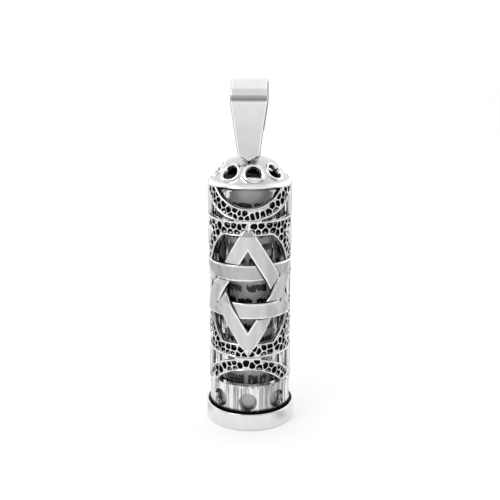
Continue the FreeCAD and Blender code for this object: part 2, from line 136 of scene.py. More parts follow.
def grid_faces(rows, count, rows_close=True, columns_close=True):
    """Quads of a grid of points, listed row by row, which may close on itself both ways."""
    faces = []
    for row in range(rows if rows_close else rows - 1):
        a, b = row * count, (row + 1) % rows * count
        for i in range(count if columns_close else count - 1):
            j = (i + 1) % count
            faces.append((a + i, a + j, b + j, b + i))
    return faces


def lathe(profile, steps):
    """Points and faces of a closed outline (r, z) turned round the axis."""
    points = [(r * math.sin(a), -r * math.cos(a), z)
              for a in np.linspace(0, TAU, steps, endpoint=False) for r, z in profile]
    return points, grid_faces(steps, len(profile))


def thicken(triangles, count, stays_open=None):
    """Faces of both sides of a sheet and of the walls round its edges.

    The inner points follow the count outer ones. stays_open(a, b) picks edges without a wall.
    """
    directed = {(t[i - 1], t[i]): None for t in triangles for i in range(3)}
    walls = [(b, a, count + a, count + b) for a, b in directed
             if (b, a) not in directed and not (stays_open and stays_open(a, b))]
    return triangles + [tuple(count + v for v in reversed(t)) for t in triangles] + walls


def resample(loop, step):
    """Points along a closed outline, no further apart than step, its corners kept."""
    loop = [np.asarray(p, float) for p in loop]
    result = []
    for start, end in zip(loop, loop[1:] + loop[:1]):
        count = max(1, math.ceil(np.linalg.norm(end - start) / step - 1e-6))
        result += [start + (end - start) * k / count for k in range(count)]
    return result


def rounded(corners, segments=6):
    """Outline with its corners rounded; each corner is (r, z, radius of the corner)."""
    result = []
    for index, (x, y, radius) in enumerate(corners):
        here = np.array([x, y], float)
        if radius <= 0:
            result.append(here)
            continue
        before = np.array(corners[index - 1][:2], float) - here
        after = np.array(corners[(index + 1) % len(corners)][:2], float) - here
        before /= np.linalg.norm(before)
        after /= np.linalg.norm(after)
        half = math.acos(np.clip(before @ after, -1, 1)) / 2
        reach = radius / math.tan(half)
        centre = here + (before + after) / np.linalg.norm(before + after) * radius / math.sin(half)
        start, end = here + before * reach - centre, here + after * reach - centre
        a0, a1 = math.atan2(start[1], start[0]), math.atan2(end[1], end[0])
        turn = (a1 - a0 + math.pi) % TAU - math.pi
        result += [centre + radius * np.array([math.cos(a), math.sin(a)])
                   for a in np.linspace(a0, a0 + turn, segments + 1)]
    return result


def ellipse_arc(centre, wide, tall, start, end, step=0.1):
    """Points of an ellipse; angles in radians from straight up, clockwise."""
    count = max(4, int(abs(end - start) * max(wide, tall) / step))
    return [(centre[0] + wide * math.sin(a), centre[1] + tall * math.cos(a))
            for a in np.linspace(start, end, count + 1)]


def circle(centre, radius, count):
    """Points of a circle."""
    return [(centre[0] + radius * math.sin(a), centre[1] + radius * math.cos(a))
            for a in np.linspace(0, TAU, count, endpoint=False)]


def mirrored(loop):
    """The same outline on the other side of the centre line."""
    return [(-p[0], p[1]) for p in reversed(loop)]


def counterclockwise(loop):
    """The outline, turned round if it runs clockwise."""
    x, y = np.asarray(loop).T
    area = np.sum(x * np.roll(y, -1) - np.roll(x, -1) * y)
    return list(loop) if area > 0 else list(reversed(loop))


def point_in(p, loop):
    """Even-odd test of a point against a closed outline."""
    x0, y0 = np.asarray(loop).T
    x1, y1 = np.roll(x0, -1), np.roll(y0, -1)
    crosses = (y0 > p[1]) != (y1 > p[1])
    if not crosses.any():
        return False
    at = x0[crosses] + (p[1] - y0[crosses]) * (x1 - x0)[crosses] / (y1 - y0)[crosses]
    return bool((at > p[0]).sum() % 2)


# ---- material helpers
def feed(tree, node, inputs):
    """Set a node's inputs, each to a value or to another node's output."""
    for name, value in inputs.items():
        if isinstance(value, bpy.types.NodeSocket):
            tree.links.new(value, node.inputs[name])
        else:
            node.inputs[name].default_value = value


def add(tree, kind, inputs=None, output=0, **settings):
    """Add a shader node and return one of its outputs."""
    node = tree.nodes.new("ShaderNode" + kind)
    for name, value in settings.items():
        setattr(node, name, value)
    feed(tree, node, inputs or {})
    return node.outputs[output]


def new_material(name):
    """New material, its node tree and its principled shader."""
    material = bpy.data.materials.new(name)
    material.use_nodes = True
    return material, material.node_tree, material.node_tree.nodes["Principled BSDF"]


def grey(tone):
    """Opaque grey."""
    return (tone, tone, tone, 1)


def millimetres(tree, stretch=(1, 1, 1)):
    """Object coordinates in millimetres."""
    place = add(tree, "TexCoord", output="Object")
    return add(tree, "Mapping", {"Vector": place, "Scale": [1000 * s for s in stretch]})


def cloud(tree, vector, scale, detail=3.0):
    """Noise at a scale per millimetre."""
    return add(tree, "TexNoise", {"Vector": vector, "Scale": scale, "Detail": detail}, "Fac")


def ramp(tree, value, stops):
    """Map a value through stops of grey or of colour."""
    node = tree.nodes.new("ShaderNodeValToRGB")
    elements = node.color_ramp.elements
    elements[0].position, elements[1].position = stops[0][0], stops[-1][0]
    for position, _ in stops[1:-1]:
        elements.new(position)
    for element, (_, tone) in zip(elements, stops):
        element.color = (*tone, 1) if isinstance(tone, tuple) else grey(tone)
    feed(tree, node, {"Fac": value})
    return node.outputs["Color"]


def map_range(tree, value, source, target):
    """Map a value from one range to another."""
    return add(tree, "MapRange", {"Value": value, "From Min": source[0], "From Max": source[1],
                                  "To Min": target[0], "To Max": target[1]})


def blend(tree, factor, one, two):
    """Blend two colours by a factor."""
    return add(tree, "Mix", {0: factor, 6: one, 7: two}, 2, data_type="RGBA")


def layer_value(tree, name):
    """A number kept on the mesh's points."""
    return add(tree, "Attribute", output="Fac", attribute_name=name)


def times_plus(tree, value, factor, addend):
    """A value times a factor, plus another."""
    return add(tree, "Math", {0: value, 1: factor, 2: addend}, operation="MULTIPLY_ADD")


def bump(tree, height, strength, distance):
    """Normal bent by a height."""
    return add(tree, "Bump", {"Height": height, "Strength": strength, "Distance": distance * MM},
               "Normal")


# ---- materials
def silver(name, bright, roughness, oxidised=False, painted_reflection_streaks=False, shine=False, painted_shade_below=None):
    """Silver with uneven polish and fine scratches.

    Oxidised silver is black where its layer of dark marks says: patina in hollows, and painted
    shade or shadow on some parts. Shine reads the layers shine, for a painted highlight with
    lower roughness on edges, and shade, for painted shade on faces. A range of heights paints
    shade, darkest below the lower height and gone above the upper. Upright streaks are painted
    reflections.
    """
    material, tree, shader = new_material(name)
    vector = millimetres(tree)
    tone = ramp(tree, cloud(tree, vector, 0.9), ((0.3, bright * 0.94), (0.7, bright)))
    rough = map_range(tree, cloud(tree, vector, 2.3, 5.0), (0.3, 0.7), roughness)
    # painted shade: darker below the lower of two heights, fading out by the upper
    if painted_shade_below:
        height = add(tree, "SeparateXYZ", {0: vector}, "Z")
        tone = blend(tree, map_range(tree, height, painted_shade_below[:2], (painted_shade_below[2], 0.0)), tone, grey(0.0))
    # painted shade from the layer shade, then a painted highlight from the layer shine, which also
    # lowers the roughness
    if shine:
        tone = blend(tree, layer_value(tree, "shade"), tone, grey(0.0))
        edge = layer_value(tree, "shine")
        tone = blend(tree, edge, tone, grey(0.95))
        rough = times_plus(tree, edge, -0.2, rough)
    # painted reflection: dark upright streaks standing in for dark strips of the surroundings
    # mirrored in the polish
    if painted_reflection_streaks:
        upright = cloud(tree, millimetres(tree, (1, 1, 0.02)), 1.5, 5.0)
        dark = ramp(tree, upright, ((0.50, 0.0), (0.56, 0.75), (0.60, 0.1), (0.66, 0.8)))
        tone = blend(tree, dark, tone, grey(0.05))
    # black from the layer of dark marks: patina in hollows, and painted shade or shadow where a
    # piece marks it
    if oxidised:
        grime = times_plus(tree, cloud(tree, vector, 4.0, 4.0), 0.5, -0.25)
        total = add(tree, "Math", {0: layer_value(tree, "oxide"), 1: grime}, operation="ADD",
                    use_clamp=True)
        black = ramp(tree, total, ((0.2, 0.0), (0.45, 0.35), (0.8, 1.0)))
        tone = blend(tree, black, tone, (0.012, 0.012, 0.013, 1))
        rough = times_plus(tree, black, 0.4, rough)
    grain = (1, 1, 0.12) if painted_reflection_streaks else (1, 1, 1)
    scratches = cloud(tree, millimetres(tree, grain), 6.0, 4.0)
    feed(tree, shader, {"Base Color": tone, "Metallic": 1.0, "Roughness": rough,
                        "Normal": bump(tree, scratches, 0.12, 0.02)})
    return material


def glass():
    """Clear glass that lets light through to the scroll, with faint drawing lines."""
    material, tree, shader = new_material("clear_drawn_glass")
    lines = cloud(tree, millimetres(tree, (1.6, 1.6, 0.05)), 1.5, 2.0)
    feed(tree, shader, {"Base Color": (0.97, 0.985, 0.98, 1), "Transmission Weight": 1.0,
                        "IOR": 1.5, "Specular Tint": grey(0.35),
                        "Roughness": map_range(tree, lines, (0.0, 1.0), (0.0, 0.05)),
                        "Normal": bump(tree, lines, 0.15, 0.05)})
    shadow = add(tree, "LightPath", output="Is Shadow Ray")
    clear = add(tree, "BsdfTransparent", {"Color": grey(0.99)})
    mix = add(tree, "MixShader", {0: shadow, 1: shader.outputs[0], 2: clear})
    feed(tree, tree.nodes["Material Output"], {"Surface": mix})
    return material


def parchment():
    """Grey-white parchment with fibres and mottling."""
    material, tree, shader = new_material("parchment_sheet")
    mottle = ramp(tree, cloud(tree, millimetres(tree), 0.7, 6.0),
                  ((0.3, (0.78, 0.77, 0.75)), (0.75, (0.92, 0.91, 0.89))))
    fibres = cloud(tree, millimetres(tree, (1, 1, 3)), 5.0, 6.0)
    feed(tree, shader, {"Base Color": mottle, "Roughness": 0.75,
                        "Normal": bump(tree, fibres, 0.4, 0.03)})
    return material


def dry_ink():
    """Dry black ink, uneven in depth."""
    material, tree, shader = new_material("dry_ink")
    vector = millimetres(tree)
    tone = ramp(tree, cloud(tree, vector, 3.0, 4.0), ((0.3, 0.008), (0.7, 0.03)))
    rough = ramp(tree, cloud(tree, vector, 5.0), ((0.3, 0.45), (0.7, 0.7)))
    feed(tree, shader, {"Base Color": tone, "Roughness": rough, "Specular IOR Level": 0.25})
    return material


def rubber(name, dark, light):
    """Rubber or silicone with a faint mould texture."""
    material, tree, shader = new_material(name)
    vector = millimetres(tree)
    tone = ramp(tree, cloud(tree, vector, 2.0), ((0.3, dark), (0.7, light)))
    rough = ramp(tree, cloud(tree, vector, 4.0), ((0.3, 0.4), (0.7, 0.6)))
    feed(tree, shader, {"Base Color": tone, "Roughness": rough,
                        "Normal": bump(tree, cloud(tree, vector, 8.0), 0.2, 0.02)})
    return material


# ---- panels cut on the unrolled sleeve
class Panel:
    """A stretch of the sleeve's wall, triangulated flat and then wrapped."""

    def __init__(self, half, low, high, windows, step=0.12):
        self.half, self.low, self.high, self.step = half, low, high, step
        self.windows = [resample(w, step) for w in windows]
        self.points, self.heights, self.marks = [], [], []
        self.edges = []
        samples = [p for w in self.windows for p in w if self.inside(p)]
        self.tree = kdtree.KDTree(len(samples))
        for index, p in enumerate(samples):
            self.tree.insert((p[0], p[1], 0), index)
        self.tree.balance()

    def inside(self, p):
        """True off the panel's own borders."""
        return abs(p[0]) < self.half - 1e-4 and self.low + 1e-4 < p[1] < self.high - 1e-4

    def distance(self, p):
        """Distance to the nearest window edge."""
        return self.tree.find((p[0], p[1], 0))[2]

    def clear(self, p, room):
        """True where a point keeps its distance from windows, ridges and borders."""
        return (abs(p[0]) < self.half - room * 0.4 and self.low + room < p[1] < self.high - room
                and self.distance(p) > room and ridge_distance(p) > room * 0.9)

    def in_window(self, p):
        """True inside any window."""
        return any(point_in(p, w) for w in self.windows)

    def add(self, p, height=0.0, mark=0.0):
        """Add one point and return its number."""
        self.points.append((float(p[0]), float(p[1])))
        self.heights.append(height)
        self.marks.append(mark)
        return len(self.points) - 1

    def add_loop(self, loop, height=0.0, mark=0.0):
        """Add a closed outline whose edges are kept."""
        ids = [self.add(p, height, mark) for p in counterclockwise(loop)]
        self.edges += zip(ids, ids[1:] + ids[:1])
        return ids

    def solid(self, radius_at, repeats):
        """Points, faces and dark marks of the wall, repeated round the axis: patina from the
        panel's points, and painted shade on the inner face near the sides.
        """
        corners = [(-self.half, self.low), (self.half, self.low),
                   (self.half, self.high), (-self.half, self.high)]
        self.add_loop(resample(corners, self.step))
        openings = [self.add_loop(window) for window in self.windows]
        flat, _, triangles, origin, _, sources = delaunay_2d_cdt(
            [Vector(p) for p in self.points], self.edges, openings, 0, 1e-5, True)
        flat = np.array([(p[0], p[1]) for p in flat])
        lowest = [s[0] if s else None for s in origin]
        lift = np.array([0.0 if s is None else self.heights[s] for s in lowest])
        oxide = np.array([0.0 if s is None else self.marks[s] for s in lowest])
        radii = lift + [radius_at(p, self.distance(p)) for p in flat]

        def on_seam(a, b):
            return (abs(abs(flat[a][0]) - self.half) < 1e-4
                    and abs(flat[a][0] - flat[b][0]) < 1e-4)

        kept = [tuple(t) for t, s in zip(triangles, sources) if not s]
        sheet = thicken(kept, len(flat), on_seam)
        # painted shade: the inner face and the window walls go black near the left and right sides
        silhouette_shade = np.clip((np.abs(flat[:, 0]) - 0.9 * QUARTER) / 0.3, 0.05, 0.9)
        points, faces, marks = [], [], []
        for turn in range(repeats):
            around = flat[:, 0] + turn * TAU * SLEEVE_R / repeats
            base = len(points)
            points += wrap(around, flat[:, 1], radii).tolist()
            points += wrap(around, flat[:, 1], BORE_R).tolist()
            marks += oxide.tolist() + silhouette_shade.tolist()
            faces += [tuple(base + v for v in face) for face in sheet]
        return points, faces, marks


# ---- lattice: rings, swags, arches
BAND_R = SLEEVE_R - 0.10     # floor of the pebbled bands
# raised border of a window: distance from its edge, height above the band, oxide
RAIL = ((0.0, -0.05, 0.0), (0.04, 0.065, 0.0), (0.10, 0.11, 0.0), (0.16, 0.07, 0.1),
        (0.22, -0.01, 0.42), (0.3, 0.02, 0.25))
RAIL_ROOM = 0.20
RIDGES = (23.72, 8.43)   # rails where ring and swag, and ring and arch, run together
RIDGE_HALF, RIDGE_HEIGHT = 0.15, 0.09
PIT_PITCH, PIT_MAX, PIT_MIN, PIT_CORNERS = 0.58, 0.44, 0.04, 18
PIT_TRIES = 26000
# rings of a pit: size, depth, oxide
PIT_RINGS = ((1.0, 0.0, 0.15), (0.91, -0.09, 1.2), (0.78, -0.27, 1.6))
# clear of pits round a star's tip: how far from the star's centre, half width
STAR_TIP_CLEAR = ((6.55, 0.66), (7.0, 0.28))
STAR_CENTRE = 16.0


def lattice_windows():
    """Outlines of the windows in the front half of the sleeve."""
    start = math.acos((HIGH_RING[0] - OVAL_CENTRE) / OVAL_TALL)
    end = math.acos((LOW_RING[1] - OVAL_CENTRE) / OVAL_TALL)
    right = ellipse_arc((0, OVAL_CENTRE), OVAL_WIDE, OVAL_TALL, start, end)
    swag = math.acos((SWAG_CENTRE - SLEEVE_TOP) / OVAL_TALL)
    arch = math.acos(COLLAR_TOP / OVAL_TALL)
    facing = [right + mirrored(right),
              ellipse_arc((0, SWAG_CENTRE), OVAL_WIDE, OVAL_TALL, math.pi - swag, math.pi + swag),
              ellipse_arc((0, 0), ARCH_WIDE, OVAL_TALL, -arch, arch)]
    sides = []
    apex = math.asin(SPINE_EDGE / SIDE_ARC)
    for edge, up in ((HIGH_RING[0], 1), (LOW_RING[1], -1)):
        inner = math.acos(abs(edge - OVAL_CENTRE) / SIDE_ARC)
        arc = ellipse_arc((0, OVAL_CENTRE), SIDE_ARC, up * SIDE_ARC, inner, apex)
        sides.append(arc + [(SPINE_EDGE, edge)])
    for centre, radius, ring, far in ((SWAG_CENTRE, SWAG_OUTER, HIGH_RING[1], SLEEVE_TOP),
                                      (0.0, ARCH_OUTER, LOW_RING[0], COLLAR_TOP)):
        up = 1 if far > centre else -1
        start = math.asin(BLUNT / radius)
        end = min(math.acos(abs(far - centre) / radius), math.asin(SPINE_EDGE / radius))
        arc = ellipse_arc((0, centre), radius, up * radius, start, end)
        if arc[-1][0] < SPINE_EDGE - 0.01:
            arc.append((SPINE_EDGE, far))
        sides.append(arc + [(SPINE_EDGE, ring), (BLUNT, ring)])
    return facing + sides + [mirrored(side) for side in sides]


def pit_outline(centre, neighbours, panel, web):
    """Irregular pit that fills its cell but for a web of metal, or None if it is tiny.

    The cell reaches half-way to each neighbouring pit and up to the raised rails.
    """
    angles = TAU / PIT_CORNERS * np.arange(PIT_CORNERS)
    aims = np.stack([np.cos(angles), np.sin(angles)], -1)
    reaches = []
    for aim in aims:
        reach = PIT_MAX
        for other in neighbours:
            gap = other - centre
            span = np.hypot(*gap)
            facing = float(aim @ gap) / span
            if facing > 0.05:
                reach = min(reach, (span / 2 - web) / facing)
        while reach > PIT_MIN and not panel.clear(centre + aim * reach, RAIL_ROOM):
            reach -= 0.025
        reaches.append(max(reach, PIT_MIN))
    reaches = np.array(reaches)
    reaches = 0.25 * np.roll(reaches, 1) + 0.5 * reaches + 0.25 * np.roll(reaches, -1)
    if reaches.mean() < 0.13 or reaches.min() < 0.07:
        return None
    return centre + aims * reaches[:, None]


def ridge_distance(p):
    """Distance to the short rails at the middle of the front."""
    beyond = max(0.0, abs(p[0]) - BLUNT)
    return min(math.hypot(beyond, p[1] - z) for z in RIDGES)


def lattice_radius(p, distance):
    """Radius of the lattice's surface away from its pits."""
    rail = float(np.interp(distance, [d for d, _, _ in RAIL], [h for _, h, _ in RAIL]))
    ridge = RIDGE_HEIGHT * max(0.0, 1 - (ridge_distance(p) / RIDGE_HALF) ** 2)
    lumps = noise.noise(Vector((p[0] * 1.7, p[1] * 1.7, 3.1))) * 0.045
    return BAND_R + max(rail, ridge) + lumps * min(1.0, distance / 0.3)


def scatter_pits(panel, rng):
    """Centres of pits at least a pitch apart, off the rails and the star's tips."""
    centres = []
    for _ in range(PIT_TRIES):
        p = np.array([rng.uniform(-panel.half, panel.half),
                      rng.uniform(panel.low, panel.high)])
        from_star = abs(p[1] - STAR_CENTRE)
        if any(from_star < reach and abs(p[0]) < half for reach, half in STAR_TIP_CLEAR):
            continue
        if not panel.clear(p, 0.36) or panel.in_window(p):
            continue
        pitch = PIT_PITCH * rng.uniform(0.85, 1.2)
        if all(np.hypot(*(p - q)) > pitch for q in centres):
            centres.append(p)
    return centres


def add_rails(panel):
    """Points along the raised borders of the windows and along the ridges."""
    for window in panel.windows:
        for index, p in enumerate(window):
            if not panel.inside(p):
                continue
            along = window[(index + 1) % len(window)] - window[index - 1]
            normal = np.array([along[1], -along[0]]) / max(np.linalg.norm(along), 1e-9)
            for distance, _, mark in RAIL[1:]:
                for side in (1, -1):
                    q = p + normal * distance * side
                    if (panel.inside(q) and panel.distance(q) > distance * 0.93
                            and not panel.in_window(q)):
                        panel.add(q, 0.0, mark)
    for z in RIDGES:
        for off in (-0.14, -0.07, 0.0, 0.07, 0.14):
            for u in np.arange(-BLUNT - 0.1, BLUNT + 0.1, 0.11):
                if panel.distance((u, z + off)) > 0.1 and not panel.in_window((u, z + off)):
                    panel.add((u, z + off), 0.0, 0.3 if abs(off) > 0.1 else 0.0)


def build_lattice():
    """Pierced upper part of the sleeve."""
    rng = random.Random(11)
    panel = Panel(QUARTER, COLLAR_TOP, SLEEVE_TOP, lattice_windows())
    centres = scatter_pits(panel, rng)
    pits = []
    for centre in centres:
        near = [q for q in centres if 0 < np.hypot(*(q - centre)) < 1.6]
        pit = pit_outline(centre, near, panel, rng.uniform(0.035, 0.075))
        if pit is None:
            continue
        pits.append(pit)
        for size, depth, mark in PIT_RINGS:
            panel.add_loop(centre + (pit - centre) * size, depth, mark)
    add_rails(panel)
    spacing = 0.2
    for row, z in enumerate(np.arange(panel.low + 0.1, panel.high, spacing * 0.87)):
        for u in np.arange(-panel.half + 0.1 + (row % 2) * spacing / 2, panel.half, spacing):
            p = np.array([u, z])
            if not panel.inside(p) or panel.distance(p) < RAIL[-1][0] or panel.in_window(p):
                continue
            if not any(point_in(p, pit) for pit in pits
                       if np.hypot(*(p - pit[0])) < 2 * PIT_MAX):
                panel.add(p, 0.0, 0.1)
    points, faces, marks = panel.solid(lattice_radius, 2)
    new_piece("sleeve_lattice", points, faces, "case", ["openwork_sleeve"], "cast_silver",
              silver("oxidised_silver", 0.80, (0.10, 0.22), oxidised=True), oxide=marks)


# ---- collar with round windows
PORT_R, PORT_Z, PORTS = 1.0, 3.2, 8
BEAD_HEIGHT, BEAD_HALF = 0.07, 0.17
BEAD_ROWS = (0.03, 0.06, 0.1, 0.13, 0.16, 0.19, 0.22, 0.26, 0.29, 0.31, 0.33, 0.36)


def collar_radius(p, distance):
    """Polished wall with eased window edges and a bead at the top."""
    ease = -0.07 * max(0.0, 1 - distance / 0.09) ** 2
    from_bead = (COLLAR_TOP - 0.16 - p[1]) / BEAD_HALF
    bead = BEAD_HEIGHT * math.sqrt(max(0.0, 1 - from_bead ** 2))
    return SLEEVE_R + ease + bead - 0.01


def build_collar():
    """Plain lower part of the sleeve, pierced by eight round windows."""
    half = math.pi * SLEEVE_R / PORTS
    port = (0, PORT_Z)
    panel = Panel(half, SLEEVE_FOOT, COLLAR_TOP, [circle(port, PORT_R, 64)])
    for grow in (0.02, 0.045, 0.09, 0.2):
        panel.add_loop(circle(port, PORT_R + grow, 64))
    for below in BEAD_ROWS:
        ids = [panel.add((u, COLLAR_TOP - below)) for u in np.linspace(-half, half, 41)]
        panel.edges += zip(ids[:-1], ids[1:])
    for z in np.arange(SLEEVE_FOOT + 0.2, COLLAR_TOP - 0.45, 0.2):
        for u in np.linspace(-half, half, 19)[1:-1]:
            if panel.distance((u, z)) > 0.24 and not panel.in_window((u, z)):
                panel.add((u, z))
    points, faces, _ = panel.solid(collar_radius, PORTS)
    # darker towards the foot: black below 2.05 mm, clear above 2.65 mm
    foot = [0.9 * (1 - smooth_step(p[2], 2.05, 2.65)) for p in points]
    new_piece("sleeve_collar", points, faces, "case", ["openwork_sleeve"], "cast_silver",
              # painted reflection streaks on the polished collar
              silver("bright_silver_collar", 0.85, (0.05, 0.10), oxidised=True, painted_reflection_streaks=True),
              oxide=foot)


# ---- woven stars
STAR_SLOPE = 59.0
LEG_EDGES, BAR_EDGES = (2.34, 3.94), (1.25, 2.97)    # from the star's centre
STAR_R, STAR_BACK = 4.62, 4.22
STAR_STEPS = 220    # along each strip
WEAVE_OVER, WEAVE_UNDER = 0.11, -0.17
WEAVE_RAMP = 1.8
TIP_FADE = (6.15, 6.85)    # from the star's centre: where its tips sink into the rings
TIP_SINK = 0.30
# painted shadow: the dark line beside a strip that passes over
GROOVE = 0.13    # width of the dark line beside a strip that passes over
# how much darker each strip is painted: painted shade on the top bar, of the triangle that points
# down, and a little random tone on the others; bar, then the legs clockwise
STRIP_SHADES = {1: (0.04, 0.0, 0.05), -1: (0.24, 0.03, 0.0)}


def line_at(direction, distance):
    """Line at a distance from the star's centre."""
    a = math.radians(direction)
    return math.cos(a), math.sin(a), distance


def crossing(one, two):
    """Point where two lines meet, from the star's centre."""
    a, b, p = one
    c, d, q = two
    det = a * d - b * c
    return np.array([(p * d - b * q) / det, (a * q - p * c) / det])


def star_triangle(pointing):
    """Sides of one triangle, clockwise, as (direction, edges), then its inner and outer corners."""
    lean = 90 - STAR_SLOPE
    directions = [-90, 180 - lean, lean] if pointing > 0 else [90, -lean, 180 + lean]
    sides = list(zip(directions, (BAR_EDGES, LEG_EDGES, LEG_EDGES)))
    corners = []
    for which in (0, 1):
        lines = [line_at(direction, edges[which]) for direction, edges in sides]
        corners.append([crossing(lines[i - 1], lines[i]) for i in range(3)])
    return sides, corners


def crossed_strips(pointing, side):
    """Strips that cross one side: place, whether the side goes over, their normal and edges."""
    direction, edges = star_triangle(pointing)[0][side]
    middle = line_at(direction, sum(edges) / 2)
    result = []
    for other, other_edges in star_triangle(-pointing)[0]:
        if abs((direction - other) % 360 - 180) >= 1:
            line = line_at(other, sum(other_edges) / 2)
            over = (other - direction) % 360 < 180
            result.append((crossing(middle, line), over, line[:2], other_edges))
    return result


def weave_height(point, crossed):
    """Height of a strip at a point, by how near it is to its two crossings."""
    height = 0.0
    for place, over, _, _ in crossed:
        near = max(0.0, 1 - (np.hypot(*(point - place)) / WEAVE_RAMP) ** 2)
        height += (WEAVE_OVER if over else WEAVE_UNDER) * near ** 1.2
    return height


def groove_at(point, crossed):
    """1 on the border of a strip that passes over, falling to 0 beside it."""
    result = 0.0
    for _, over, normal, (near, far) in crossed:
        if not over:
            reach = point[0] * normal[0] + point[1] * normal[1]
            beside = min(abs(reach - near), abs(reach - far))
            result = max(result, min(1.0, 2.0 - 2.0 * beside / GROOVE))
    return result


def build_star(name, turn, node, material):
    """Two interlaced triangles of flat strips, wrapped on the sleeve."""
    # section of a strip: share of its width, height; the back has no height of its own
    edge = [(0.0, None), (0.0, -0.07), (0.02, -0.03), (0.055, -0.008)]
    crown = [(f, 0.07 * f * (1 - f)) for f in np.linspace(0.1, 0.9, 21)]
    section = edge + crown + [(1 - f, h) for f, h in reversed(edge)]
    points, faces, marks, shine, shades = [], [], [], [], []
    for pointing in (1, -1):
        inner, outer = star_triangle(pointing)[1]
        base = len(points)
        for side in range(3):
            crossed = crossed_strips(pointing, side)
            after = (side + 1) % 3
            for s in np.arange(STAR_STEPS) / STAR_STEPS:
                start = inner[side] + (inner[after] - inner[side]) * s
                end = outer[side] + (outer[after] - outer[side]) * s
                lift = weave_height((start + end) / 2, crossed)
                for fraction, height in section:
                    flat = start + (end - start) * fraction
                    groove = groove_at(flat, crossed)
                    radius = STAR_BACK if height is None else STAR_R + height + lift - 0.07 * groove
                    radius -= np.interp(abs(flat[1]), TIP_FADE, (0.0, TIP_SINK))
                    points.append(wrap(flat[0] + turn * SLEEVE_R, flat[1] + STAR_CENTRE, radius))
                    # black on the back, half black on the strip's lowest edge, and a painted shadow
                    # line in the groove beside a strip that passes over
                    dark = 1.0 if height is None else 0.5 if height < -0.05 else 0.0
                    marks.append(max(dark, groove))
                    # painted highlight along both edges of each strip
                    shine.append(1.0 - smooth_step(min(fraction, 1 - fraction), 0.06, 0.14))
                    # painted shade on some strips, most on the top bar
                    shades.append(STRIP_SHADES[pointing][side])
        faces += [tuple(base + v for v in face)
                  for face in grid_faces(3 * STAR_STEPS, len(section))]
    new_piece(name, points, faces, "case", [node], "polished_silver", material,
              oxide=marks, shine=shine, shade=shades)


# ---- dome
DOME_LOW, DOME_HIGH = box_mm("dome_crown")
DOME_EDGE = DOME_HIGH.x
CROWN_EDGE_R, CROWN_EDGE_Z = 2.68, 29.3
DOME_SLOPE = (CROWN_EDGE_Z - DOME_LOW.z) / (DOME_EDGE - CROWN_EDGE_R)
DOME_TILT = math.atan(DOME_SLOPE)
DOME_HOLES, DOME_TURN = 8, math.radians(9.5)
DOME_HOLE_R, DOME_HOLE_RING = 0.85, 3.3
RIM_WIDE, RIM_HIGH = 0.34, 0.13    # raised rim round each hole
DOME_WALL = 0.5
DOME_SEAT = 0.35    # how far inside the edge the dome's wall ends


def dome_z(r):
    """Height of the dome's smooth surface at a radius."""
    rise = DOME_HIGH.z - CROWN_EDGE_Z
    sphere = (CROWN_EDGE_R ** 2 + rise ** 2) / (2 * rise)
    if r < CROWN_EDGE_R:
        return DOME_HIGH.z - sphere + math.sqrt(sphere ** 2 - r ** 2)
    return CROWN_EDGE_Z - (r - CROWN_EDGE_R) * DOME_SLOPE


def hole_distance(x, y):
    """Distance along the dome's face to the nearest hole's centre."""
    at = DOME_TURN + round((math.atan2(x, -y) - DOME_TURN) / TAU * DOME_HOLES) * TAU / DOME_HOLES
    radial = x * math.sin(at) - y * math.cos(at) - DOME_HOLE_RING
    across = x * math.cos(at) + y * math.sin(at)
    return math.hypot(radial / math.cos(DOME_TILT), across)


def rim_height(out):
    """How far the dome's face swells at a distance from a hole's edge."""
    if out < 0 or out >= RIM_WIDE:
        return 0.0
    return RIM_HIGH * math.sin(math.pi * (out + 0.03) / (RIM_WIDE + 0.03)) ** 0.8


def hole_outline(index, radius):
    """One hole's edge or a ring round it, in plan."""
    at = DOME_TURN + index * TAU / DOME_HOLES
    outline = []
    for a in np.linspace(0, TAU, 56, endpoint=False):
        radial = DOME_HOLE_RING + radius * math.cos(a) * math.cos(DOME_TILT)
        across = radius * math.sin(a)
        outline.append((radial * math.sin(at) + across * math.cos(at),
                        -radial * math.cos(at) + across * math.sin(at)))
    return outline


def dome_plan():
    """Triangles of the dome in plan, with its eight holes left out."""
    flat, edges, holes = [], [], []

    def ring(outline):
        ids = list(range(len(flat), len(flat) + len(outline)))
        flat.extend(counterclockwise(outline))
        edges.extend(zip(ids, ids[1:] + ids[:1]))
        return ids

    for inward in (0.0, 0.02, 0.06, 0.13):
        ring(circle((0, 0), DOME_EDGE - inward, 200))
    for index in range(DOME_HOLES):
        holes.append(ring(hole_outline(index, DOME_HOLE_R)))
        for grow in (0.03, 0.07, 0.12, 0.17, 0.22, 0.27, 0.31):
            flat.extend(p for p in hole_outline(index, DOME_HOLE_R + grow)
                        if hole_distance(*p) > DOME_HOLE_R + grow - 1e-3
                        and np.hypot(*p) < DOME_EDGE - 0.15)
    rng = random.Random(5)
    for r in np.arange(0.06, DOME_EDGE - 0.2, 0.14):
        count = max(6, int(TAU * r / 0.16))
        for k in range(count):
            a = TAU * (k + rng.random() * 0.3) / count
            p = (r * math.sin(a), -r * math.cos(a))
            if hole_distance(*p) > DOME_HOLE_R + 0.36:
                flat.append(p)
    verts, _, triangles, _, _, sources = delaunay_2d_cdt(
        [Vector(p) for p in flat], edges, holes, 0, 1e-5, True)
    return [(v[0], v[1]) for v in verts], [tuple(t) for t, s in zip(triangles, sources) if not s]


